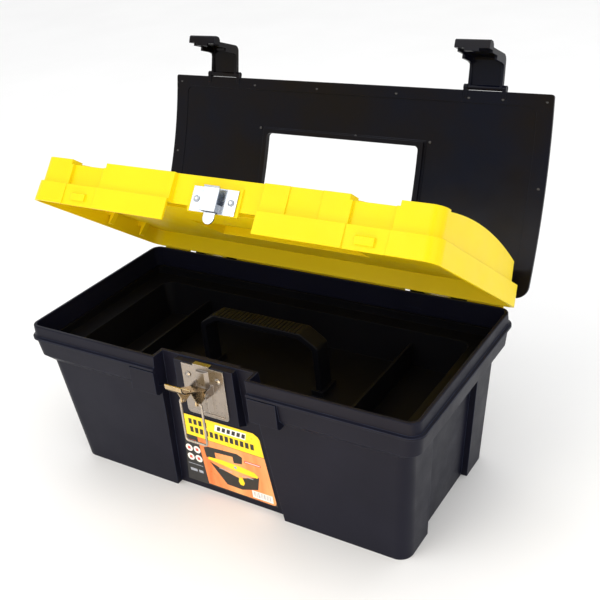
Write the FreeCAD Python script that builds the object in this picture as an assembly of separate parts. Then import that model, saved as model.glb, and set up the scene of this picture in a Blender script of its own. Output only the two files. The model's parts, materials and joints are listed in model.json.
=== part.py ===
import FreeCAD, Part
import math
import os

# Toolbox with a lift-out tray, a domed lid and a hinged cover over the lid's bins.
# Units are mm. X runs along the box, Y to the back, Z up.
# The origin is the middle of the four feet, on the floor.
# Every moving piece is drawn shut, then turned to its resting angle at the end.

V = FreeCAD.Vector
X_AXIS = V(1, 0, 0)
Y_AXIS = V(0, 1, 0)
Z_AXIS = V(0, 0, 1)

# ---- tub ----
RIM_TOP = 152.0
BEAD_TOP = 141.0
LEDGE = 120.0
FLOOR_TOP = 4.0
RIM_X, RIM_Y = 205.5, 98.0
FOOT_X, FOOT_Y = 181.0, 82.8
SHOULDER_X, SHOULDER_Y = 194.0, 91.2
BEAD_X, BEAD_Y = 208.3, 100.7
WALL = 3.0
POCKET_TOP_X, POCKET_FOOT_X = 49.0, 61.0
POCKET_TOP_Y, POCKET_FOOT_Y = 84.5, 76.0
BOSS_X = 31.5
BOSS_FRONT = -91.5

# ---- hasp ----
PLATE_FOOT = 100.0
LEVER_PIVOT = (-102.0, 130.0)
BAIL_PIVOT = (-95.2, 121.0)
HOOK_BAR = (-99.2, 162.6)
BAIL_X = 11.5
WIRE_R = 1.1
LEVER_REST = 115.6
BAIL_SWING = 174.3

# ---- lid ----
LID_X, LID_Y = 209.3, 101.3
LID_LOW = 141.2
LID_STEP = 161.0
LID_BAR_TOP = 185.0
DECK_LOW, DECK_TOP = 158.0, 160.6
LID_AXIS = (115.7, 143.8)
LID_REST = 36.2
LATCH_X = 149.0
LATCH_BAY = 19.0
LATCH_NOTCH = 180.5
CENTRE_BAY = 47.0

# ---- cover ----
COVER_X = 214.0
COVER_FRONT, COVER_BACK = -72.3, 112.0
COVER_T = 2.6
COVER_AXIS = (94.5, 165.5)
COVER_REST = 74.0
WINDOW_X, WINDOW_FRONT, WINDOW_BACK = 87.5, -16.0, 50.0
LATCH_AXIS = (-75.2, 187.4)
LATCH_REST_LEFT, LATCH_REST_RIGHT = 0.5, 5.0

# ---- hinge knuckles ----
LID_HINGE_X = 130.0
COVER_HINGE_X = 165.0
PIN_R = 1.5
PIN_GAP = 0.05

HANDLE_AXIS = (0.0, 178.0)


def box(x0, x1, y0, y1, z0, z1):
    return Part.makeBox(x1 - x0, y1 - y0, z1 - z0, V(x0, y0, z0))


def rod(x0, x1, y, z, r):
    return Part.makeCylinder(r, x1 - x0, V(x0, y, z), X_AXIS)


def fuse(shapes):
    whole = shapes[0]
    if len(shapes) > 1:
        whole = whole.multiFuse(shapes[1:])
    return whole.removeSplitter()


def cut(shape, tools):
    return shape.cut(tools).removeSplitter()


def slab_x(points, x0, x1):
    """A prism along X with a section of (y, z) points."""
    wire = Part.makePolygon([V(x0, y, z) for y, z in points + points[:1]])
    return Part.Face(wire).extrude(V(x1 - x0, 0, 0))


def slab_y(points, y0, y1):
    """A prism along Y with a section of (x, z) points."""
    wire = Part.makePolygon([V(x, y0, z) for x, z in points + points[:1]])
    return Part.Face(wire).extrude(V(0, y1 - y0, 0))


def outline(x0, x1, y0, y1, r, z):
    """A rounded rectangle wire at height z."""
    k = r * (1 - math.sqrt(0.5))
    edges = [
        Part.makeLine(V(x0 + r, y0, z), V(x1 - r, y0, z)),
        Part.Arc(V(x1 - r, y0, z), V(x1 - k, y0 + k, z), V(x1, y0 + r, z)).toShape(),
        Part.makeLine(V(x1, y0 + r, z), V(x1, y1 - r, z)),
        Part.Arc(V(x1, y1 - r, z), V(x1 - k, y1 - k, z), V(x1 - r, y1, z)).toShape(),
        Part.makeLine(V(x1 - r, y1, z), V(x0 + r, y1, z)),
        Part.Arc(V(x0 + r, y1, z), V(x0 + k, y1 - k, z), V(x0, y1 - r, z)).toShape(),
        Part.makeLine(V(x0, y1 - r, z), V(x0, y0 + r, z)),
        Part.Arc(V(x0, y0 + r, z), V(x0 + k, y0 + k, z), V(x0 + r, y0, z)).toShape(),
    ]
    return Part.Wire(edges)


def loft(wires):
    """A ruled solid through the wires, facing outwards."""
    body = Part.makeLoft(wires, True, True)
    if body.Volume < 0:
        body.reverse()
    return body


def tower(levels):
    """Rounded rectangles (z, half x, half y, corner r) joined by straight walls."""
    wires = [outline(-x, x, -y, y, r, z) for z, x, y, r in levels]
    return loft(wires)


def wedge(z0, half0, y0, z1, half1, y1, y_out):
    """A tapered block: |x| and its inner face y change from z0 to z1."""
    low = Part.makePolygon([V(-half0, y_out, z0), V(half0, y_out, z0),
                            V(half0, y0, z0), V(-half0, y0, z0), V(-half0, y_out, z0)])
    top = Part.makePolygon([V(-half1, y_out, z1), V(half1, y_out, z1),
                            V(half1, y1, z1), V(-half1, y1, z1), V(-half1, y_out, z1)])
    return loft([low, top])


def end_wedge(side, z0, half0, x0, z1, half1, x1, x_out):
    """The same block at an end of the box: |y| and its inner face x change."""
    rings = []
    for z, half, x in ((z0, half0, x0), (z1, half1, x1)):
        points = [V(side * x_out, -half, z), V(side * x, -half, z),
                  V(side * x, half, z), V(side * x_out, half, z)]
        rings.append(Part.makePolygon(points + points[:1]))
    return loft(rings)


def round_edges(shape, test, r):
    """Fillet the edges that pass test, or leave the shape if the fillet fails."""
    edges = [e for e in shape.Edges if test(e)]
    if not edges:
        return shape
    try:
        done = shape.makeFillet(r, edges)
        if done.isValid() and done.Volume > 0:
            return done
    except Exception:
        pass
    return shape


def is_along(edge, axis):
    if not isinstance(edge.Curve, Part.Line):
        return False
    return abs(abs(edge.Curve.Direction.dot(axis)) - 1) < 1e-6


def mirror_x(shape):
    return shape.mirror(V(0, 0, 0), X_AXIS)


def both_sides(shape):
    return [shape, mirror_x(shape)]


def turned(shape, axis, degrees):
    """Positive degrees lift what lies in front (-Y) of the axis."""
    out = shape.copy()
    out.rotate(V(0, axis[0], axis[1]), X_AXIS, -degrees)
    return out


# ---------------------------------------------------------------- tub

def pocket(grow):
    """The latch pocket and label panel in the front wall, grown by a wall thickness."""
    return wedge(-1, POCKET_FOOT_X + grow, -(POCKET_FOOT_Y - grow),
                 RIM_TOP + 2, POCKET_TOP_X + grow, -(POCKET_TOP_Y - grow), -130)


def end_bay(side, grow):
    """The shallow bay between the corner blocks at an end."""
    return end_wedge(side, -1, 43 + grow, 175 - grow, 111, 47 + grow, 188 - grow, 230)


def back_bay(grow):
    rings = []
    for z, half, y in ((-1, 62 + grow, 78.5 - grow), (111, 52 + grow, 87.5 - grow)):
        points = [V(-half, y, z), V(half, y, z), V(half, 130, z), V(-half, 130, z)]
        rings.append(Part.makePolygon(points + points[:1]))
    return loft(rings)


def tub_bracket(x0, x1):
    """One tub knuckle for the lid hinge, on an arm from the back band."""
    y, z = LID_AXIS
    arm = slab_x([(95.0, 118.0), (101.0, 122.0), (y + 3.9, z - 3.9),
                  (y - 3.9, z + 1.0), (103.2, 138.0), (95.0, 136.5)], x0, x1)
    return fuse([arm, rod(x0, x1, y, z, 5.5)])


def make_tub():
    skin = tower([(0, FOOT_X, FOOT_Y, 12), (113, SHOULDER_X, SHOULDER_Y, 12),
                  (120, RIM_X - 2.5, RIM_Y - 1.2, 11), (136.8, RIM_X, RIM_Y + 0.4, 11),
                  (138.2, BEAD_X, BEAD_Y, 13), (140.2, BEAD_X, BEAD_Y, 13),
                  (BEAD_TOP, RIM_X + 0.2, RIM_Y + 0.2, 10), (RIM_TOP, RIM_X, RIM_Y, 10)])
    low_room = tower([(FLOOR_TOP, FOOT_X - 3.5, FOOT_Y - 3.5, 9),
                      (112, SHOULDER_X - 3.5, SHOULDER_Y - 3.6, 9),
                      (LEDGE, SHOULDER_X - 2.5, SHOULDER_Y - 2.8, 9)])
    top_room = tower([(LEDGE, RIM_X - 3.2, RIM_Y - 3.1, 7.5),
                      (RIM_TOP + 1, RIM_X - 2.8, RIM_Y - 2.8, 7.5)])
    room = low_room.fuse(top_room)
    room = room.cut([pocket(WALL), back_bay(WALL), end_bay(1, WALL), end_bay(-1, WALL)])
    body = skin.cut([pocket(0), back_bay(0), end_bay(1, 0), end_bay(-1, 0)])
    body = body.cut(room)

    pad = slab_x([(-100.6, 136.9), (-100.6, 114), (-97, 111.5), (-90, 111.5), (-90, 118.5),
                  (-95.6, 120.5), (-95.6, 136.9)], 50.5, 79)
    boss = slab_x([(BOSS_FRONT, 151), (BOSS_FRONT, 97), (-78.0, 90), (-78.0, 151)],
                  -BOSS_X, BOSS_X)
    hook_slot = box(-10.6, 8.6, -89.4, -87.4, 144, 152)
    brackets = []
    for side in (-1, 1):
        c = side * LID_HINGE_X
        brackets.append(tub_bracket(c - 30, c - 12.2))
        brackets.append(tub_bracket(c + 12.2, c + 30))
    feet = [box(sx * 120 - 40, sx * 120 + 40, sy * 54 - 16, sy * 54 + 16, 0, 4.2)
            for sx in (-1, 1) for sy in (-1, 1)]

    body = fuse([body, boss] + both_sides(pad) + brackets)
    feet.append(Part.makeCylinder(24, 4.2))
    under = cut(tower([(-0.1, 170, 72.5, 10), (1.6, 170, 72.5, 10)]), feet)
    pin_holes = [rod(s * LID_HINGE_X - 31, s * LID_HINGE_X + 31, *LID_AXIS, PIN_R + PIN_GAP)
                 for s in (-1, 1)]
    rivet_holes = [Part.makeCylinder(1.55, 8, V(s * 16, BOSS_FRONT - 1, 140), Y_AXIS)
                   for s in (-1, 1)]
    body = cut(body, [under, hook_slot] + pin_holes + rivet_holes)
    body = round_edges(body, lambda e: is_along(e, X_AXIS) and e.BoundBox.ZMin > 151.9
                       and e.BoundBox.YMin < -97 and e.Length > 60, 1.0)
    return body


# ---------------------------------------------------------------- tray

def make_tray():
    skin = tower([(86, 172, 72, 10), (LEDGE + 0.4, 179, 77.5, 12)])
    rim = tower([(LEDGE + 0.4, 200.6, 93.3, 7.5), (131, 201.0, 93.6, 7.5)])
    notch = box(-57, 57, -120, -78.0, 80, 140)
    notch_wall = box(-59.4, 59.4, -120, -75.6, 80, 140)
    low_room = tower([(88.5, 169.4, 69.4, 8), (123, 176.6, 75.1, 10)])
    top_room = tower([(123, 198.2, 90.9, 6), (132, 198.6, 91.2, 6)])
    body = fuse([skin, rim]).cut(notch)
    body = body.cut(low_room.fuse(top_room).cut(notch_wall)).removeSplitter()
    posts = both_sides(box(56.5, 69.0, -12, 12, 87.5, 94))
    sockets = both_sides(box(59.3, 66.2, -9.7, 9.7, 88.5, 95))
    walls = [box(s * 118 - 1.1, s * 118 + 1.1, -70.5, 70.5, 87.5, 112) for s in (-1, 1)]
    walls = [w.common(tower([(87, 170.5, 70.5, 8), (123, 177.5, 76.2, 10)])) for w in walls]
    body = fuse([body] + posts + walls)
    return cut(body, sockets)


def make_tray_handle():
    outer = [(-66, 88.7), (66, 88.7), (66, 137.5), (48, 149), (-48, 149), (-66, 137.5)]
    inner = [(-59.5, 80), (59.5, 80), (59.5, 134.5), (45.5, 143.2), (-45.5, 143.2), (-59.5, 134.5)]
    bow = slab_y(outer, -9.5, 9.5).cut(slab_y(inner, -11, 11))

    def is_bend(e):
        return is_along(e, Y_AXIS) and e.BoundBox.ZMin > 130

    bow = round_edges(bow, is_bend, 6.0)
    bow = round_edges(bow, lambda e: e.BoundBox.ZMin > 90 and e.BoundBox.YLength < 0.1, 1.4)
    pitch = 4.3
    grooves = [box(pitch * i - 0.7, pitch * i + 0.7, -11, 11, 148.3, 150)
               for i in range(-10, 11)]
    return cut(bow, grooves)


# ---------------------------------------------------------------- hasp on the tub

def make_hasp_plate():
    face = BOSS_FRONT - 1.2
    plate = box(-22.5, 22.5, face, BOSS_FRONT, PLATE_FOOT, 150.2)
    plate = round_edges(plate, lambda e: is_along(e, Y_AXIS) and e.BoundBox.ZMax < 101, 4.0)
    foot_bead = rod(-18, 18, face, PLATE_FOOT + 3.2, 0.9)
    rings = [Part.makePolygon([V(-6.8, face + 0.1, z), V(-4, face - 3, z), V(4, face - 3, z),
                               V(6.8, face + 0.1, z), V(-6.8, face + 0.1, z)])
             for z in (107, 147)]
    ridge = loft(rings)
    tab = fuse([box(-9.6, 7.6, face, -87.9, 150.2, 151.9).cut(
        box(-10, 8, BOSS_FRONT, -80, 149, 151.0)),
        box(-9.6, 7.6, -89.1, -87.9, 145, 151.9)])
    ear = slab_x([(face + 0.2, 126), (-104.2, 127), (-105.2, 130), (-104.2, 133),
                  (face + 0.2, 135)], 8.9, 10.1)
    body = fuse([plate, foot_bead, ridge, tab] + both_sides(ear))
    y, z = LEVER_PIVOT
    holes = [rod(-12, 12, y, z, 1.25)]
    holes += [Part.makeCylinder(1.55, 3, V(s * 16, face - 1, 140), Y_AXIS) for s in (-1, 1)]
    return cut(body, holes)


def make_rivet(x, front, z, depth):
    """A domed rivet: head in front, shank going back."""
    head = Part.makeCylinder(2.9, 0.7, V(x, front - 0.7, z), Y_AXIS)
    dome = Part.makeCone(1.4, 2.9, 0.7, V(x, front - 1.4, z), Y_AXIS)
    shank = Part.makeCylinder(1.5, depth, V(x, front, z), Y_AXIS)
    return fuse([head, dome, shank])


def make_hasp_pin():
    return rod(-10.2, 10.2, *LEVER_PIVOT, 1.2)


def make_lever():
    """Drawn shut: it hangs from its pivot with the finger lip at the foot."""
    sheet = [(-106.4, 133.5), (-105.2, 133.5), (-105.2, 99), (-107.2, 94.6), (-110.8, 92.4),
             (-111.4, 93.6), (-108.2, 95.6), (-106.4, 99.4)]
    plate = slab_x(sheet, -8.6, 8.6)
    flange = slab_x([(-105.4, 133.5), (-99.5, 133.5), (-98.2, 128.5), (-93.4, 123.6),
                     (-93.4, 118.6), (-97, 117.2), (-105.4, 108)], 7.4, 8.6)
    bore = rod(-9, 9, *LEVER_PIVOT, 1.25)
    holes = rod(-9, 9, *BAIL_PIVOT, WIRE_R + 0.05)
    bead = rod(-5.0, 5.0, -106.3, 112, 0.9)
    return cut(fuse([plate, bead] + both_sides(flange)), [bore, holes])


def make_bail():
    """Drawn shut: the wire stands up from the lever and its top bar is in the keeper."""
    y0, z0 = BAIL_PIVOT
    y1, z1 = HOOK_BAR
    length = math.hypot(y1 - y0, z1 - z0)
    bend = 3.0
    k = bend * (1 - math.sqrt(0.5))
    left = [
        Part.makeLine(V(-6.95, 0, 0), V(-BAIL_X + 2, 0, 0)),
        Part.Arc(V(-BAIL_X + 2, 0, 0),
                 V(-BAIL_X + 2 - 2 * math.sqrt(0.5), 0, 2 - 2 * math.sqrt(0.5)),
                 V(-BAIL_X, 0, 2)).toShape(),
        Part.makeLine(V(-BAIL_X, 0, 2), V(-BAIL_X, 0, length - bend)),
        Part.Arc(V(-BAIL_X, 0, length - bend), V(-BAIL_X + k, 0, length - k),
                 V(-BAIL_X + bend, 0, length)).toShape(),
        Part.makeLine(V(-BAIL_X + bend, 0, length), V(0, 0, length)),
    ]
    path = Part.Wire(left)
    profile = Part.Wire([Part.makeCircle(WIRE_R, V(-6.95, 0, 0), X_AXIS)])
    half = path.makePipeShell([profile], True, False)
    wire = fuse([half, mirror_x(half)])
    wire.rotate(V(0, 0, 0), X_AXIS, -math.degrees(math.atan2(y1 - y0, z1 - z0)))
    wire.translate(V(0, y0, z0))
    return wire


def make_label():
    """A thin trapezoid on the front panel, with rounded right corners."""
    slope = (POCKET_TOP_Y - POCKET_FOOT_Y) / (RIM_TOP + 3)

    def at(x, z, out):
        return V(x, -(POCKET_FOOT_Y + slope * (z + 1)) - out, z)

    corners = [(-51, 6.5), (50.5, 6.5), (43.5, 80), (37, 86), (-41.5, 86)]
    wire = Part.makePolygon([at(x, z, 0.02) for x, z in corners + corners[:1]])
    return Part.Face(wire).extrude(V(0, -0.35, 0))


# ---------------------------------------------------------------- lid

def arc_through(p, q, r):
    """Centre and radius of the circle through three (y, z) points."""
    d = 2 * (p[0] * (q[1] - r[1]) + q[0] * (r[1] - p[1]) + r[0] * (p[1] - q[1]))
    p2, q2, r2 = (a[0] ** 2 + a[1] ** 2 for a in (p, q, r))
    y = (p2 * (q[1] - r[1]) + q2 * (r[1] - p[1]) + r2 * (p[1] - q[1])) / d
    z = (p2 * (r[0] - q[0]) + q2 * (p[0] - r[0]) + r2 * (q[0] - p[0])) / d
    return y, z, math.hypot(p[0] - y, p[1] - z)


CROWN_Y, CROWN_Z, CROWN_R = arc_through((-84, 183.4), (0, 189.3), (85, 178.0))


def on_crown(y, lift):
    """A point over y on the crown arc, lifted by lift along its radius."""
    r = CROWN_R + lift
    return y, CROWN_Z + math.sqrt(r * r - (y - CROWN_Y) ** 2)


def crown_edge(y0, y1, lift, x):
    points = [V(x, *on_crown(y, lift)) for y in (y0, (y0 + y1) / 2, y1)]
    return Part.Arc(*points).toShape()


def crown_shell(x0, x1, y0, y1, lift0, lift1):
    """A curved panel between two offsets of the crown arc."""
    low = crown_edge(y0, y1, lift0, x0)
    top = crown_edge(y0, y1, lift1, x0)
    sides = [Part.makeLine(V(x0, *on_crown(y, lift0)), V(x0, *on_crown(y, lift1)))
             for y in (y0, y1)]
    face = Part.Face(Part.Wire(Part.__sortEdges__([low, top] + sides)))
    return face.extrude(V(x1 - x0, 0, 0))


def lid_upper(inset, x_half):
    """The upper body of the lid as a solid, inset by a wall thickness."""
    y0, y1 = -98.4 + inset, 90 - inset
    wires = [outline(-x_half, x_half, y0, y1, 10, LID_STEP - 3.2),
             outline(-x_half + 0.8, x_half - 0.8, y0 + 0.8, y1 - 5.5, 10, 192)]
    block = loft(wires)
    arc = crown_edge(-84, 95, 0, -220)
    start = on_crown(-84, 0)
    end = on_crown(95, 0)
    rest = [V(-220, *end), V(-220, 95, 150), V(-220, -110, 150), V(-220, -110, LID_BAR_TOP),
            V(-220, -84, LID_BAR_TOP), V(-220, *start)]
    edges = [arc] + [Part.makeLine(a, b) for a, b in zip(rest, rest[1:])]
    face = Part.Face(Part.Wire(Part.__sortEdges__(edges)))
    return block.common(face.extrude(V(440, 0, 0)))


def lid_knuckle(x0, x1):
    """One lid knuckle for the lid hinge, on an arm from the back skirt."""
    y, z = LID_AXIS
    arm = slab_x([(99.5, 141.4), (y - 3.5, 139.8), (y - 1, z + 5.0), (99.5, 147.4)], x0, x1)
    return fuse([arm, rod(x0, x1, y, z, 5.5)])


def cover_post(x0, x1):
    """One lid knuckle for the cover hinge, standing on the back step."""
    y, z = COVER_AXIS
    post = box(x0, x1, y - 4, y + 4, 158.5, z)
    return fuse([post, rod(x0, x1, y, z, 4.0)])


def front_bays():
    """What is cut from the front face: latch bays, the middle bay and the badge bay."""
    cuts = [box(-CENTRE_BAY, CENTRE_BAY, -120, -94, LID_STEP - 8, 200)]
    for s in (-1, 1):
        x0, x1 = s * LATCH_X - LATCH_BAY, s * LATCH_X + LATCH_BAY
        cuts.append(box(x0, x1, -120, -95, LID_STEP, 200))
        cuts.append(box(x0, x1, -120, -99.7, 130, LID_STEP))
        cuts.append(box(x0 - 2.6, x1 + 2.6, -120, -71, LATCH_NOTCH, 200))
    cuts.append(box(72, 103, -120, -96.8, LID_STEP, 200))
    return cuts


def front_bay_backs():
    """Where the hollow of the front bar must stop short behind those bays."""
    backs = [box(-CENTRE_BAY - 2.6, CENTRE_BAY + 2.6, -120, -91.4, 150, 200)]
    for s in (-1, 1):
        x0, x1 = s * LATCH_X - LATCH_BAY - 2.6, s * LATCH_X + LATCH_BAY + 2.6
        backs.append(box(x0, x1, -120, -92.4, 150, 200))
        backs.append(box(x0 - 2.6, x1 + 2.6, -120, -60, 178, 200))
    backs.append(box(69.4, 105.6, -120, -94.2, 150, 200))
    return backs


def handle_housing():
    """The raised seat for the carrying handle, in the cover's window."""
    return box(-86, 86, -14.5, 48.5, DECK_LOW, 184.0)


def back_lips():
    """The drip lip under the back edge, between and beside the hinges."""
    section = [(100.8, 147.0), (101.2, 141.6), (101.9, 141.2), (101.9, 137.9), (103.1, 137.9),
               (103.1, 142.0), (101.4, 147.0)]
    return [slab_x(section, -98.5, 98.5)] + both_sides(slab_x(section, 161.5, 196))


def make_lid():
    skirt = tower([(LID_LOW, LID_X, LID_Y, 12), (LID_STEP, LID_X - 0.8, LID_Y - 0.8, 12)])
    upper = lid_upper(0, LID_X - 3.5)
    shell = skirt.fuse(upper)

    under = tower([(LID_LOW - 1, LID_X - 2.7, LID_Y - 2.7, 9.3),
                   (DECK_LOW, LID_X - 3.3, LID_Y - 3.3, 9.3)])
    bar_room = tower([(DECK_LOW - 1, LID_X - 6.6, 95.6, 8), (182, LID_X - 7.2, 95.0, 8)])
    bar_room = bar_room.common(box(-210, 210, -110, -73.2, 150, 190)).cut(front_bay_backs())
    wires = [outline(-LID_X + 6.6, LID_X - 6.6, -71, 87.2, 8, DECK_TOP),
             outline(-LID_X + 7.2, LID_X - 7.2, -71, 81.6, 8, 195)]
    bins = loft(wires)
    bins = bins.cut(handle_housing())
    shell = shell.cut([under, bar_room, bins] + front_bays())

    floor = box(-85.9, 85.9, -14.4, 48.4, 168.5, 171)
    seat_rooms = [box(-83.5, 83.5, -12, 46, 150, 168.5), box(-83.5, 83.5, -12, 46, 171, 200)]
    shell = shell.cut(seat_rooms)
    bosses = both_sides(box(76.2, 84, -8, 8, 170.5, 184))
    skirt_gap = box(-CENTRE_BAY, CENTRE_BAY, -120, -88, 130, LID_STEP - 8)
    shell = shell.cut([skirt_gap])

    dividers = both_sides(box(86, 88, -72, 84, DECK_LOW, 181))
    dividers += both_sides(box(88, 203.5, 5, 7, DECK_LOW, 181))
    dividers += both_sides(box(29, 31, -72, -14, DECK_LOW, 181))
    dividers = [w.common(lid_upper(1, LID_X - 4.5)) for w in dividers]
    pad = box(-26.5, 26.5, -95.6, -93.8, LID_STEP - 8, 177.5)
    nubs = [slab_x([(-99.5, 153.5), (-102, 152.4), (-102, 145.8), (-99.5, 145.8)],
                   s * LATCH_X - 8.5, s * LATCH_X + 8.5) for s in (-1, 1)]
    ribs = []
    for y in (10, 62):
        rib = slab_y([(206.4, 158.5), (206.4, 153.5), (201.6, 153.5), (201.6, 144), (200, 144),
                      (196, 158.5)], y - 3.5, y + 3.5)
        ribs += both_sides(rib)
    knuckles = [lid_knuckle(s * LID_HINGE_X - 11.8, s * LID_HINGE_X + 11.8) for s in (-1, 1)]
    posts = []
    for s in (-1, 1):
        c = s * COVER_HINGE_X
        posts.append(cover_post(c - 15.5, c - 7.3))
        posts.append(cover_post(c + 7.3, c + 15.5))
    body = fuse([shell, floor, pad] + bosses + dividers + nubs + ribs + knuckles + posts + back_lips())

    holes = [rod(s * LID_HINGE_X - 13, s * LID_HINGE_X + 13, *LID_AXIS, PIN_R + PIN_GAP)
             for s in (-1, 1)]
    holes += [rod(s * COVER_HINGE_X - 16, s * COVER_HINGE_X + 16, *COVER_AXIS, PIN_R + PIN_GAP)
              for s in (-1, 1)]
    holes += both_sides(rod(76, 86.5, *HANDLE_AXIS, 2.0 + PIN_GAP))
    holes += [Part.makeCylinder(1.55, 6, V(s * 18, -97, 164.5), Y_AXIS) for s in (-1, 1)]
    body = cut(body, holes)

    def is_front_corner(e):
        b = e.BoundBox
        upright = b.XLength < 0.9 and b.YLength < 0.9 and b.ZLength > 8
        return upright and b.YMax < -97.3 and abs(b.XMin) < 175

    return round_edges(body, is_front_corner, 1.2)


def make_keeper():
    face = -96.8
    plate = box(-23.5, 23.5, face, -95.6, 153.4, 175.6)
    bridge = box(-8.5, 7.5, -103.2, face + 0.2, 158.4, 159.6)
    stand = slab_x([(-103.2, 154.2), (-102.0, 154.2), (-102.0, 175.2), (-103.2, 176.4),
                    (-104.0, 175.8), (-103.2, 174.6)], -8.5, 7.5)
    webs = [box(x, x + 1.2, -103.0, face + 0.2, 154.2, 161.0) for x in (-8.5, 6.3)]
    tab = fuse([box(-5.8, 5.8, -98.8, -97.6, 149.4, 159),
                Part.makeCylinder(5.8, 1.2, V(0, -98.8, 149.4), Y_AXIS)])
    tab = tab.cut(box(-20, 20, -110, -80, 158.9, 170))
    body = fuse([plate, bridge, stand, tab] + webs)
    holes = [Part.makeCylinder(1.55, 4, V(s * 18, -99, 164.5), Y_AXIS) for s in (-1, 1)]
    return cut(body, holes)


# ---------------------------------------------------------------- cover and latches

def plan_corners(x, y0, y1, r_front, r_back):
    """A plan outline with its own front and back corner radii, as a tall block."""
    block = box(-x, x, y0, y1, 150, 210)

    def corner(e, back):
        b = e.BoundBox
        at_back = abs(b.YMin - y1) < 1e-6
        return is_along(e, Z_AXIS) and at_back == back

    block = block.makeFillet(r_back, [e for e in block.Edges if corner(e, True)])
    return block.makeFillet(r_front, [e for e in block.Edges if corner(e, False)])


def make_cover():
    gap = 0.8
    panel = crown_shell(-COVER_X, COVER_X, COVER_FRONT, COVER_BACK, gap, gap + COVER_T)
    panel = panel.common(plan_corners(COVER_X, COVER_FRONT, COVER_BACK - 0.5, 2.5, 11))
    field = crown_shell(-199, 199, COVER_FRONT + 11, COVER_BACK - 13, gap - 0.5, gap + 0.8)
    field = field.common(plan_corners(199, COVER_FRONT + 11.5, COVER_BACK - 13.5, 8, 8))
    field = field.cut(box(-WINDOW_X - 6, WINDOW_X + 6, WINDOW_FRONT - 6, WINDOW_BACK + 6,
                          150, 210))
    frame = crown_shell(-WINDOW_X - 5, WINDOW_X + 5, WINDOW_FRONT - 5, WINDOW_BACK + 5,
                        gap - 3.4, gap + 0.4)
    frame = frame.common(box(-100, 100, WINDOW_FRONT - 4.6, WINDOW_BACK + 4.6, 150, 210))
    hole = box(-WINDOW_X, WINDOW_X, WINDOW_FRONT, WINDOW_BACK, 150, 210)
    hole = hole.makeFillet(4, [e for e in hole.Edges if is_along(e, Z_AXIS)])
    y, z = LATCH_AXIS
    ears, grooves, bores = [], [], []
    for s in (-1, 1):
        c = s * LATCH_X
        for x0 in (c - 20.6, c + 17.0):
            ear = slab_x([(y, z - 3.0), (y, z + 3.0), (-66, 188.9), (-66, 186.2)], x0, x0 + 3.6)
            ears.append(fuse([ear, rod(x0, x0 + 3.6, y, z, 3.0)]))
        for x0 in (c - 21.6, c + 21.0):
            grooves.append(crown_shell(x0, x0 + 0.6, COVER_FRONT - 1, -61, gap - 0.5, gap + 0.5))
        bores.append(rod(c - 21, c + 21, y, z, 1.65))
    ya, za = COVER_AXIS
    arms = []
    for s in (-1, 1):
        c = s * COVER_HINGE_X
        arm = slab_x([(ya - 4, za), (ya + 4, za), (ya + 4, 177.4), (ya - 6, 178.4)],
                     c - 6.9, c + 6.9)
        arms.append(fuse([arm, rod(c - 6.9, c + 6.9, ya, za, 4.0)]))
        bores.append(rod(c - 8, c + 8, ya, za, PIN_R + PIN_GAP))
    body = panel.cut(field)
    body = fuse([body, frame] + ears + arms)
    return cut(body, [hole] + grooves + bores)


def make_latch(c):
    """Drawn shut: the arm lies over the front bar and the leg hangs down the front."""
    y, z = LATCH_AXIS
    x0, x1 = c - 16.6, c + 16.6
    hook = [(y, z + 2.6), (-106, 185.4), (-106, 141.5), (-103.2, 141.5), (-103.2, 183.2),
            (y, z + 0.2)]
    sheet = slab_x(hook, x0, x1)
    sheet = round_edges(sheet, lambda e: is_along(e, X_AXIS) and e.BoundBox.YMax < -105
                        and e.BoundBox.ZMin > 184, 7.0)
    sheet = round_edges(sheet, lambda e: is_along(e, X_AXIS) and abs(e.BoundBox.YMax + 103.2) < 0.1
                        and e.BoundBox.ZMin > 182, 4.5)
    cheek = [(y, z + 0.6), (-98.5, 185.6), (-102.6, 183.6), (-105.0, 179), (-105.0, 150),
             (-101.0, 150), (-101.0, 162.6), (-97.2, 162.6), (-97.2, 177), (-96.2, 182.4),
             (-93.0, 183.4), (y, z - 2.4)]
    cheeks = [slab_x(cheek, x, x + 2.4) for x in (x0, x1 - 2.4)]
    lip = slab_x([(-105.8, 141.5), (-109.8, 141.7), (-111.2, 143.4), (-110.8, 148.2),
                  (-108.8, 150.4), (-105.8, 151.4)], x0, x1)
    tooth = box(c - 7, c + 7, -103.4, -100.4, 141.5, 144.1)
    barrel = rod(x0, x1, y, z, 2.6)
    stubs = rod(c - 20.4, c + 20.4, y, z, 1.6)
    return fuse([sheet, lip, tooth, barrel, stubs] + cheeks)


# ---------------------------------------------------------------- carrying handle

def make_carry_handle():
    """Drawn folded down in its seat. It lifts about an axis through the two stubs."""
    y, z = HANDLE_AXIS
    grip = box(-72, 72, 25, 43, 172.4, 188.4)
    grip = grip.makeFillet(5.5, [e for e in grip.Edges if is_along(e, X_AXIS)])
    arm = slab_x([(y - 4.0, 173.4), (34, 173.6), (34, 187.2), (4, 185.0), (y - 5.5, 181.5)],
                 64.5, 75.4)
    arm = arm.makeFillet(2.2, [e for e in arm.Edges if not is_along(e, X_AXIS)
                               and e.BoundBox.YMax < 33.9])
    flutes = [box(x - 1.2, x + 1.2, 24, 28, 176, 184) for x in range(-50, 51, 10)]
    body = fuse([grip] + both_sides(arm)).cut(flutes)
    bores = both_sides(rod(63, 76, y, z, 2.05))
    return cut(body, bores)


def make_handle_pin(side):
    x0 = 66.0 if side > 0 else -86.0
    return rod(x0, x0 + 20.0, *HANDLE_AXIS, 2.0)


def make_pin(c, half, axis):
    return rod(c - half, c + half, *axis, PIN_R)


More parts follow.
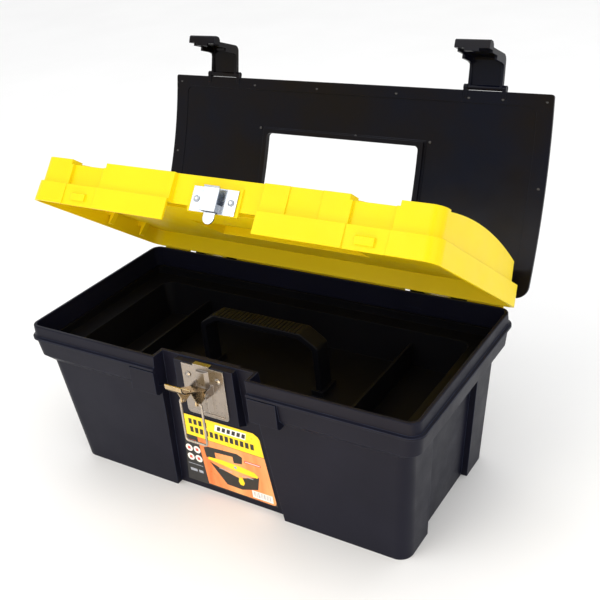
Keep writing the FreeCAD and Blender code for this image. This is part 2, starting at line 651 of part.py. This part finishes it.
def build():
    nodes = {}
    nodes["tub"] = make_tub()
    nodes["tray"] = make_tray()
    nodes["tray_handle"] = make_tray_handle()
    nodes["label"] = make_label()
    nodes["hasp_plate"] = make_hasp_plate()
    nodes["hasp_pin"] = make_hasp_pin()
    plate_face = BOSS_FRONT - 1.2
    nodes["hasp_rivet_left"] = make_rivet(-16, plate_face, 140, 5.5)
    nodes["hasp_rivet_right"] = make_rivet(16, plate_face, 140, 5.5)
    nodes["lid_hinge_pin_left"] = make_pin(-LID_HINGE_X, 30, LID_AXIS)
    nodes["lid_hinge_pin_right"] = make_pin(LID_HINGE_X, 30, LID_AXIS)

    bail = turned(make_bail(), BAIL_PIVOT, -BAIL_SWING - LEVER_REST)
    nodes["hasp_lever"] = turned(make_lever(), LEVER_PIVOT, LEVER_REST)
    nodes["hasp_bail"] = turned(bail, LEVER_PIVOT, LEVER_REST)

    on_lid = {
        "lid": make_lid(),
        "keeper": make_keeper(),
        "keeper_rivet_left": make_rivet(-18, -96.8, 164.5, 4.4),
        "keeper_rivet_right": make_rivet(18, -96.8, 164.5, 4.4),
        "cover_hinge_pin_left": make_pin(-COVER_HINGE_X, 15.5, COVER_AXIS),
        "cover_hinge_pin_right": make_pin(COVER_HINGE_X, 15.5, COVER_AXIS),
        "carry_handle": make_carry_handle(),
        "handle_pin_left": make_handle_pin(-1),
        "handle_pin_right": make_handle_pin(1),
    }
    on_cover = {
        "cover": make_cover(),
        "cover_latch_left": turned(make_latch(-LATCH_X), LATCH_AXIS, LATCH_REST_LEFT),
        "cover_latch_right": turned(make_latch(LATCH_X), LATCH_AXIS, LATCH_REST_RIGHT),
    }
    for name, shape in on_cover.items():
        on_lid[name] = turned(shape, COVER_AXIS, COVER_REST)
    for name, shape in on_lid.items():
        nodes[name] = turned(shape, LID_AXIS, LID_REST)
    return nodes


os.makedirs("parts", exist_ok=True)
for name, shape in build().items():
    if len(shape.Solids) == 1:
        shape = shape.Solids[0]
    shape.exportStep(os.path.join("parts", name + ".step"))
    print(name, "solids", len(shape.Solids), "valid", shape.isValid(),
          "cm3", round(shape.Volume / 1000, 2))
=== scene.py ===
import json
import math

import bmesh
import bpy
from mathutils import Matrix, Vector

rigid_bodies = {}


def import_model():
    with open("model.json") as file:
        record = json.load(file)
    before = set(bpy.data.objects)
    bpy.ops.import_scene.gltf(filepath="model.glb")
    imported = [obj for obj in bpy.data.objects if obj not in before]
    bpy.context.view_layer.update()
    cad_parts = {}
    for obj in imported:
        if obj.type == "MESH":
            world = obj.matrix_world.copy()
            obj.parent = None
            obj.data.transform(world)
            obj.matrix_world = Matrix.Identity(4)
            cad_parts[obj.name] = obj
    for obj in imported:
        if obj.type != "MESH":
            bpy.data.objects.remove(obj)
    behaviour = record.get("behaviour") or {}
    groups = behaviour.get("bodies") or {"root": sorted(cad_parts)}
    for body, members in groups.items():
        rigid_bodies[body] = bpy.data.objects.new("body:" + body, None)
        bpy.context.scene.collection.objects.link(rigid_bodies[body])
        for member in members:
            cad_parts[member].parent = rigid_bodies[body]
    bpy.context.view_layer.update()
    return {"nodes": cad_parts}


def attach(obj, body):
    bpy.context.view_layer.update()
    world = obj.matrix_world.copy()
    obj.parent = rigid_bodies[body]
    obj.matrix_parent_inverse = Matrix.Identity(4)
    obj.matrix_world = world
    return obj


# Looks for the toolbox: materials, printed label and small moulding marks on the CAD frame.
# Units are metres. X runs along the box, Y to the back, Z up, as in the CAD model.

MM = 0.001

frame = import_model()
nodes = frame["nodes"]

# ---- camera, at the photograph's viewing angle ----
CAMERA_PLACE = Vector((0.4819, -0.6386, 0.5775))
CAMERA_YAW = math.radians(36.19)
CAMERA_PITCH = math.radians(22.72)
CAMERA_ROLL = math.radians(-7.02)
LENS, SENSOR = 58.17, 36.0
SHIFT_X, SHIFT_Y = 0.0638, -0.1224


# ---------------------------------------------------------------- node helpers

class Shader:
    """A material being built: its node tree and the output of each helper call."""

    def __init__(self, name):
        self.material = bpy.data.materials.new(name)
        self.material.use_nodes = True
        self.tree = self.material.node_tree
        self.surface = self.tree.nodes["Principled BSDF"]
        self.place = self.add("ShaderNodeTexCoord").outputs["Object"]

    def add(self, kind, **settings):
        node = self.tree.nodes.new(kind)
        for key, value in settings.items():
            setattr(node, key, value)
        return node

    def link(self, source, socket):
        self.tree.links.new(source, socket)

    def set(self, **values):
        for key, value in values.items():
            self.surface.inputs[key.replace("_", " ")].default_value = value

    def noise(self, scale, detail=3.0, rough=0.5, stretch=(1, 1, 1)):
        mapping = self.add("ShaderNodeMapping")
        mapping.inputs["Scale"].default_value = stretch
        self.link(self.place, mapping.inputs["Vector"])
        node = self.add("ShaderNodeTexNoise")
        node.inputs["Scale"].default_value = scale
        node.inputs["Detail"].default_value = detail
        node.inputs["Roughness"].default_value = rough
        self.link(mapping.outputs["Vector"], node.inputs["Vector"])
        return node.outputs["Fac"]

    def span(self, value, low, high, start=0.3, end=0.7):
        """Maps a 0..1 pattern to a range."""
        node = self.add("ShaderNodeMapRange")
        node.inputs["From Min"].default_value = start
        node.inputs["From Max"].default_value = end
        node.inputs["To Min"].default_value = low
        node.inputs["To Max"].default_value = high
        self.link(value, node.inputs["Value"])
        return node.outputs["Result"]

    def mix(self, fac, a, b):
        """Mixes two colours, or outputs, by a pattern."""
        node = self.add("ShaderNodeMix", data_type="RGBA")
        self.link(fac, node.inputs["Factor"])
        for socket, value in (("A", a), ("B", b)):
            target = [i for i in node.inputs if i.name == socket and i.type == "RGBA"][0]
            if isinstance(value, tuple):
                target.default_value = (*value, 1)
            else:
                self.link(value, target)
        return [o for o in node.outputs if o.type == "RGBA"][0]

    def edges(self, radius):
        """A rounded normal and a mask that is 1 on edges and 0 on flat stretches."""
        bevel = self.add("ShaderNodeBevel", samples=6)
        bevel.inputs["Radius"].default_value = radius
        flat = self.add("ShaderNodeNewGeometry").outputs["Normal"]
        dot = self.add("ShaderNodeVectorMath", operation="DOT_PRODUCT")
        self.link(bevel.outputs["Normal"], dot.inputs[0])
        self.link(flat, dot.inputs[1])
        mask = self.span(dot.outputs["Value"], 1.0, 0.0, 0.86, 0.995)
        return bevel.outputs["Normal"], mask

    def bump(self, height, distance, strength, normal=None):
        node = self.add("ShaderNodeBump")
        node.inputs["Distance"].default_value = distance
        node.inputs["Strength"].default_value = strength
        self.link(height, node.inputs["Height"])
        if normal is not None:
            self.link(normal, node.inputs["Normal"])
        return node.outputs["Normal"]


def moulded(name, colour, drift_tone, rough, grain=0.5, round_edge=0.6, edge_wear_and_highlight=None):
    """Moulded plastic: fine grain, slow colour drift, lighter edges that are partly rubbing wear and
    partly a painted highlight, and uneven gloss.
    """
    s = Shader(name)
    drift = s.noise(14.0, 4.0)
    body = s.mix(s.span(drift, 0.0, 1.0), colour, drift_tone)
    normal, edge = s.edges(round_edge * MM)
    # Edges are lightened towards the edge colour in patches: partly rubbing wear, partly a painted
    # highlight along the edges.
    rub_and_highlight = s.add("ShaderNodeMath", operation="MULTIPLY")
    s.link(edge, rub_and_highlight.inputs[0])
    s.link(s.span(s.noise(60.0, 5.0), 0.15, 0.8), rub_and_highlight.inputs[1])
    edges_lightened = s.mix(rub_and_highlight.outputs["Value"], body, edge_wear_and_highlight or drift_tone)
    s.link(edges_lightened, s.surface.inputs["Base Color"])
    gloss = s.noise(38.0, 5.0, 0.6)
    s.link(s.span(gloss, rough - 0.06, rough + 0.07), s.surface.inputs["Roughness"])
    orange_peel = s.bump(s.noise(900.0, 2.0), 0.05 * MM, grain, normal)
    s.link(s.bump(s.noise(5200.0, 2.0), 0.02 * MM, grain, orange_peel), s.surface.inputs["Normal"])
    return s


def plated(name, colour, warm, rough, brushed=(1, 1, 1)):
    """Plated sheet steel: rolled lines, small scratches and cloudy patches."""
    s = Shader(name)
    cloud = s.noise(90.0, 5.0, 0.6)
    normal, edge = s.edges(0.35 * MM)
    tone = s.mix(s.span(cloud, 0.0, 1.0), colour, warm)
    # Edges are lightened towards near white.
    edges_lightened = s.mix(s.span(edge, 0.0, 0.6, 0.0, 1.0), tone, (0.9, 0.9, 0.9))
    s.link(edges_lightened, s.surface.inputs["Base Color"])
    lines = s.noise(420.0, 4.0, 0.7, brushed)
    s.link(s.span(lines, rough - 0.08, rough + 0.12), s.surface.inputs["Roughness"])
    s.link(s.bump(lines, 0.03 * MM, 0.6, normal), s.surface.inputs["Normal"])
    s.set(Metallic=1.0)
    return s


def printed(name, colour, shade, streaks=False):
    """Glossy printed film with uneven ink, or with upright streaks like wood grain."""
    s = Shader(name)
    if streaks:
        ink = s.span(s.noise(26.0, 6.0, 0.65, (1, 1, 0.18)), 0.0, 1.0, 0.35, 0.65)
    else:
        ink = s.span(s.noise(420.0, 4.0), 0.0, 1.0)
    s.link(s.mix(ink, colour, shade), s.surface.inputs["Base Color"])
    s.link(s.span(s.noise(120.0, 3.0), 0.27, 0.40), s.surface.inputs["Roughness"])
    s.link(s.bump(s.noise(700.0, 2.0), 0.02 * MM, 0.3), s.surface.inputs["Normal"])
    return s


def make_materials():
    # Each edge colour below is lighter than its body: a painted highlight along the lit rims and
    # edges (blue-grey on the tub), partly rubbing wear.
    tub = moulded("tub_plastic", (0.0046, 0.0050, 0.0120), (0.0066, 0.0070, 0.0160), 0.42,
                  edge_wear_and_highlight=(0.055, 0.075, 0.140))
    tray = moulded("tray_plastic", (0.0030, 0.0030, 0.0042), (0.0045, 0.0045, 0.006), 0.40,
                   edge_wear_and_highlight=(0.016, 0.017, 0.024))
    # The cover's bluish second tone is a painted reflection, mixed in with the slow colour drift.
    cover = moulded("cover_plastic", (0.0062, 0.0038, 0.0020), (0.0024, 0.0034, 0.0100), 0.18,
                    grain=0.10, edge_wear_and_highlight=(0.030, 0.034, 0.05))
    tub.set(Specular_IOR_Level=0.12)
    tray.set(Specular_IOR_Level=0.08)
    cover.set(Specular_IOR_Level=0.10)
    yellow = moulded("yellow_plastic", (0.84, 0.63, 0.003), (0.88, 0.68, 0.005), 0.36,
                     grain=0.25, round_edge=0.9, edge_wear_and_highlight=(0.93, 0.76, 0.02))
    yellow.set(Subsurface_Weight=0.10, Subsurface_Scale=0.003, Specular_IOR_Level=0.15)
    yellow.surface.inputs["Subsurface Radius"].default_value = (1.0, 0.7, 0.1)
    bright = plated("bright_plate", (0.54, 0.57, 0.61), (0.47, 0.50, 0.55), 0.20)
    warm = plated("warm_plate", (0.34, 0.305, 0.28), (0.30, 0.27, 0.245), 0.30)
    # The lever's gold base colour is a painted reflection of the yellow lid around it.
    lever_reflection_gold = plated("lever_plate", (0.58, 0.44, 0.24), (0.40, 0.31, 0.19), 0.22)
    wire = plated("bail_wire", (0.44, 0.40, 0.36), (0.34, 0.31, 0.28), 0.28)
    pin = plated("pin_steel", (0.50, 0.50, 0.50), (0.38, 0.37, 0.36), 0.30, (1, 8, 8))
    mark = moulded("moulding_mark", (0.030, 0.028, 0.028), (0.045, 0.043, 0.045), 0.5)
    film = printed("label_base", (0.010, 0.010, 0.010), (0.016, 0.016, 0.016))
    return {"film": film, "tub": tub, "tray": tray, "cover": cover, "yellow": yellow,
            "bright": bright, "warm": warm, "lever_reflection_gold": lever_reflection_gold, "wire": wire, "pin": pin, "mark": mark}


def dress_cad_nodes(materials):
    """Gives every CAD node its material."""
    wear = {
        "lid": "yellow", "cover": "cover", "cover_latch_left": "cover", "cover_latch_right": "cover",
        "tray": "tray", "tray_handle": "tray", "carry_handle": "tray", "tub": "tub",
        "keeper": "bright", "keeper_rivet_left": "bright", "keeper_rivet_right": "bright",
        "hasp_plate": "warm", "hasp_rivet_left": "wire", "hasp_rivet_right": "wire",
        "hasp_lever": "lever_reflection_gold", "hasp_bail": "wire", "label": "film",
    }
    for name, node in nodes.items():
        material = materials[wear.get(name, "pin")].material
        for mesh_object in [node] + list(node.children_recursive):
            if mesh_object.type != "MESH":
                continue
            for slot in mesh_object.material_slots:
                slot.material = material


# ---------------------------------------------------------------- label art

PANEL_FOOT_Z, PANEL_FOOT_Y, PANEL_SLOPE = -1.0, 76.0, 0.05484
LABEL_FACE = 0.37
LABEL_LAYER = 0.03
LABEL_LOW, LABEL_TOP, LABEL_BEND = 6.5, 86.0, 80.0
LABEL_LOW_X, LABEL_TOP_X = (-51.0, 50.5), (-41.5, 43.5)
LABEL_MARGIN = 0.6
BAND_LOW = 62.0
WORD_PITCH, WORD_WIDTH, WORD_LEAN = 5.6, 3.8, 0.4
DISC_X, DISC_Z = (-42.2, -33.0), (35.0, 45.5)
BAR_CODE = (0.9, 0.4, 0.6, 1.1, 0.4, 0.8, 0.5, 1.0, 0.4, 0.7, 0.5, 0.9)


def left_edge(z):
    share = (z - LABEL_LOW) / (LABEL_TOP - LABEL_LOW)
    return LABEL_LOW_X[0] + (LABEL_TOP_X[0] - LABEL_LOW_X[0]) * share


def right_edge(z):
    share = (z - LABEL_LOW) / (LABEL_BEND - LABEL_LOW)
    return LABEL_LOW_X[1] + (LABEL_TOP_X[1] - LABEL_LOW_X[1]) * share


def label_point(x, z, out):
    """A place on the sloping front panel, standing out from it by out."""
    y = -(PANEL_FOOT_Y + PANEL_SLOPE * (z - PANEL_FOOT_Z)) - out
    return Vector((x, y, z)) * MM


def ride_as(name, mesh, body, material):
    """Links a piece, with its material, to the body it moves with."""
    piece = bpy.data.objects.new(name, mesh)
    mesh.materials.append(material)
    bpy.context.scene.collection.objects.link(piece)
    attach(piece, body)
    return piece


def print_shapes(name, shapes, layer, material):
    """Thin printed shapes lying on the label, each a list of (x, z) points."""
    bm = bmesh.new()
    back = LABEL_FACE + LABEL_LAYER * (layer - 1)
    for points in shapes:
        rings = [[bm.verts.new(label_point(x, z, out)) for x, z in points]
                 for out in (back, back + LABEL_LAYER)]
        bm.faces.new(rings[0])
        bm.faces.new(rings[1][::-1])
        for i in range(len(points)):
            j = (i + 1) % len(points)
            bm.faces.new((rings[0][i], rings[1][i], rings[1][j], rings[0][j]))
    bmesh.ops.recalc_face_normals(bm, faces=bm.faces)
    mesh = bpy.data.meshes.new(name)
    bm.to_mesh(mesh)
    bm.free()
    return ride_as(name, mesh, "tub_body", material)


def bar(x0, x1, z0, z1, lean=0.0):
    """A four-sided shape whose top edge leans to the right."""
    return [(x0, z0), (x1, z0), (x1 + lean, z1), (x0 + lean, z1)]


def bar_row(x, count, pitch, width, z0, z1, lean):
    """Evenly spaced bars, standing where printed words would be."""
    return [bar(x + pitch * i, x + pitch * i + width, z0, z1, lean) for i in range(count)]


def disc(x, z, radius, sides=28):
    turns = [2 * math.pi * i / sides for i in range(sides)]
    return [(x + radius * math.cos(t), z + radius * math.sin(t)) for t in turns]


def add_label_art():
    """A plain printed label: colour fields, bars where words would be, and a small box picture."""
    inks = {
        "yellow": printed("ink_yellow", (0.93, 0.66, 0.003), (0.96, 0.70, 0.006)),
        "orange": printed("ink_orange", (0.68, 0.17, 0.035), (0.90, 0.42, 0.16), streaks=True),
        "black": printed("ink_black", (0.008, 0.008, 0.007), (0.016, 0.014, 0.010)),
        "white": printed("ink_white", (0.80, 0.80, 0.80), (0.88, 0.88, 0.88)),
        "red": printed("ink_red", (0.60, 0.06, 0.04), (0.68, 0.10, 0.07)),
        "blue": printed("ink_blue", (0.30, 0.34, 0.44), (0.40, 0.44, 0.52)),
    }
    ink = {key: shader.material for key, shader in inks.items()}

    band = [(left_edge(BAND_LOW) + LABEL_MARGIN, BAND_LOW),
            (right_edge(BAND_LOW) - LABEL_MARGIN, BAND_LOW - 1.5),
            (43.0, 79.6), (41.6, 82.6), (36.8, 85.5), (-41.0, 85.5)]
    field = [(-26.5, 8.0), (46.5, 7.2), (49.0, 8.4), (49.6, 11.0),
             (right_edge(60) - LABEL_MARGIN, 60.0), (-29.5, 61.4)]
    print_shapes("label_band", [band], 1, ink["yellow"])
    print_shapes("label_field", [field], 1, ink["orange"])

    words = bar_row(-36, 13, WORD_PITCH, WORD_WIDTH, 66.0, 72.4, WORD_LEAN)
    words += bar_row(-36, 4, WORD_PITCH, WORD_WIDTH, 75.6, 81.6, WORD_LEAN)
    print_shapes("label_bars", words, 2, ink["black"])
    print_shapes("label_badge", [bar(-7, 27, 75.0, 82.6, 2.0)], 2, ink["white"])
    print_shapes("label_badge_lines", bar_row(-4, 6, 5.4, 3.6, 76.4, 81.2, 1.4), 3, ink["black"])

    tub = [(-20, 36), (-6, 31), (12, 27), (35, 35), (31.5, 20), (13, 14), (-4, 14.5)]
    bow = [(-24, 51.5), (-19, 53.5), (14, 55.5), (19.5, 53), (18, 45), (8.5, 43.5), (8.5, 50.5),
           (-12, 49), (-12, 42), (-23, 40.5)]
    print_shapes("label_picture_tub", [tub], 2, ink["black"])
    print_shapes("label_picture_handle", [bow], 2, ink["black"])
    dome = [(-21.5, 38.6), (-20.5, 41.4), (-6, 42.4), (14, 41.6), (30, 39.4), (34, 36.2),
            (33, 33.6), (12, 34.6), (-6, 36.8)]
    print_shapes("label_picture_lid", [dome], 3, ink["yellow"])
    clasp = [(12.0, 28.5), (15.5, 28.5), (17.2, 23), (15.5, 19.6), (12, 19.6), (10.5, 23)]
    print_shapes("label_picture_clasp", [clasp], 4, ink["yellow"])
    shine = [bar(-10, 5, 31.2, 32.0), disc(9.5, 38.5, 1.7), bar(16, 28, 30.6, 31.4)]
    print_shapes("label_picture_shine", shine, 4, ink["blue"])
    print_shapes("label_strip", [bar(21, 39, 47.8, 50.4)], 2, ink["red"])
    print_shapes("label_strip_line", [bar(22, 38, 48.7, 49.4)], 3, ink["white"])

    print_shapes("label_code", [bar(24, 46.5, 9.2, 17.6)], 2, ink["white"])
    stripes = [bar(26 + 1.55 * i, 26 + 1.55 * i + w, 11.0, 16.6) for i, w in enumerate(BAR_CODE)]
    print_shapes("label_code_lines", stripes, 3, ink["blue"])

    print_shapes("label_notice", [bar(-43, -32, 54.2, 56.4)], 1, ink["red"])
    centres = [(x, z) for x in DISC_X for z in DISC_Z]
    discs = [disc(x, z, 4.0) for x, z in centres]
    print_shapes("label_discs", discs, 1, ink["white"])
    squares = [bar(x - 1.6, x + 1.6, z - 1.6, z + 1.6) for x, z in centres]
    print_shapes("label_disc_marks", squares, 2, ink["red"])
    lines = [bar(-47, -30, 26.4, 27.0), bar(-46, -38, 18.0, 21.0), bar(-36, -31, 18.0, 21.0)]
    print_shapes("label_lines", lines, 1, ink["blue"])


# ---------------------------------------------------------------- moulding marks

CROWN_Y, CROWN_Z, CROWN_R = -12.665, -231.306, 420.796
COVER_GAP = 0.8
COVER_AXIS, COVER_REST = (94.5, 165.5), 74.0
LID_AXIS, LID_REST = (115.7, 143.8), 36.2
MARK_FOOT_R, MARK_TOP_R, MARK_HEIGHT = 1.5, 1.3, 0.12
FRONT_MARK_Y = -65.5
FRONT_MARK_X = (-207, -108, -31, 59, 134, 167, 208)
OTHER_MARKS = ((208, 13), (-208, 13), (17, -20.8), (98, -20.8), (-98, -20.8))


def lifted(y, z, axis, degrees):
    """Turns a shut (y, z) place about a hinge to where it rests."""
    turn = math.radians(degrees)
    dy, dz = y - axis[0], z - axis[1]
    return (axis[0] + dy * math.cos(turn) + dz * math.sin(turn),
            axis[1] - dy * math.sin(turn) + dz * math.cos(turn))


def on_cover(x, y, lift):
    """A place over y on the shut cover's inner face, where it now rests."""
    z = CROWN_Z + math.sqrt((CROWN_R + lift) ** 2 - (y - CROWN_Y) ** 2)
    return Vector((x, *lifted(*lifted(y, z, COVER_AXIS, COVER_REST), LID_AXIS, LID_REST))) * MM


def add_cover_marks(material):
    """The round marks that ejector pins leave along the border of the cover's inner face."""
    border = [(x, FRONT_MARK_Y) for x in FRONT_MARK_X]
    for number, (x, y) in enumerate(border + list(OTHER_MARKS)):
        place, above = on_cover(x, y, COVER_GAP), on_cover(x, y, COVER_GAP - 1)
        bm = bmesh.new()
        bmesh.ops.create_cone(bm, cap_ends=True, segments=20, radius1=MARK_FOOT_R * MM,
                              radius2=MARK_TOP_R * MM, depth=MARK_HEIGHT * MM)
        mesh = bpy.data.meshes.new("cover_mark_%d" % number)
        bm.to_mesh(mesh)
        bm.free()
        mesh.transform((above - place).to_track_quat("Z", "Y").to_matrix().to_4x4())
        mesh.transform(Matrix.Translation(place))
        ride_as(mesh.name, mesh, "cover_body", material)


# ---------------------------------------------------------------- studio

BOX_MIDDLE = (0, 0, 0.15)
UNDER_LID = (0, 0, 0.24)
FLOOR_HALF = 6.0


def add_camera():
    forward = Vector((-math.sin(CAMERA_YAW) * math.cos(CAMERA_PITCH),
                      math.cos(CAMERA_YAW) * math.cos(CAMERA_PITCH), -math.sin(CAMERA_PITCH)))
    level = Vector((math.cos(CAMERA_YAW), math.sin(CAMERA_YAW), 0))
    up = level.cross(forward)
    right = math.cos(CAMERA_ROLL) * level + math.sin(CAMERA_ROLL) * up
    top = -math.sin(CAMERA_ROLL) * level + math.cos(CAMERA_ROLL) * up
    data = bpy.data.cameras.new("camera")
    data.lens = LENS
    data.sensor_width = SENSOR
    data.shift_x, data.shift_y = SHIFT_X, SHIFT_Y
    camera = bpy.data.objects.new("camera", data)
    camera.matrix_world = Matrix((right, top, -forward)).transposed().to_4x4()
    camera.location = CAMERA_PLACE
    bpy.context.scene.collection.objects.link(camera)
    bpy.context.scene.camera = camera


def add_light(name, place, target, size, power, colour=(1, 1, 1)):
    data = bpy.data.lights.new(name, "AREA")
    data.shape = "RECTANGLE"
    data.size, data.size_y = size
    data.energy = power
    data.color = colour
    lamp = bpy.data.objects.new(name, data)
    lamp.location = place
    lamp.rotation_mode = "QUATERNION"
    lamp.rotation_quaternion = (Vector(target) - Vector(place)).to_track_quat("-Z", "Y")
    bpy.context.scene.collection.objects.link(lamp)
    return lamp


def add_studio():
    world = bpy.data.worlds.new("studio")
    world.use_nodes = True
    world.node_tree.nodes["Background"].inputs["Color"].default_value = (1.0, 1.0, 1.0, 1)
    world.node_tree.nodes["Background"].inputs["Strength"].default_value = 1.0
    bpy.context.scene.world = world
    add_light("key", (-0.5, -1.1, 1.5), BOX_MIDDLE, (1.2, 1.0), 8)
    add_light("fill", (1.4, -0.5, 0.9), BOX_MIDDLE, (1.0, 1.0), 3)
    add_light("top", (0.1, 0.5, 1.7), BOX_MIDDLE, (1.4, 0.8), 4)
    glow = add_light("warm_bounce", (0.05, -0.42, 0.03), UNDER_LID, (0.7, 0.25), 1.8,
                     (1.0, 0.74, 0.38))
    glow.visible_camera = False

    data = bpy.data.meshes.new("floor")
    corners = [(x * FLOOR_HALF, y * FLOOR_HALF, 0) for x, y in ((-1, -1), (1, -1), (1, 1), (-1, 1))]
    data.from_pydata(corners, [], [(0, 1, 2, 3)])
    floor = bpy.data.objects.new("floor", data)
    s = Shader("floor")
    s.link(s.mix(s.span(s.noise(3.0), 0.0, 1.0), (0.90, 0.90, 0.90), (0.93, 0.93, 0.93)),
           s.surface.inputs["Base Color"])
    s.link(s.span(s.noise(30.0), 0.55, 0.7), s.surface.inputs["Roughness"])
    floor.data.materials.append(s.material)
    bpy.context.scene.collection.objects.link(floor)


materials = make_materials()
dress_cad_nodes(materials)
add_label_art()
add_cover_marks(materials["mark"].material)
add_studio()
add_camera()
bpy.context.scene.view_settings.view_transform = "Standard"
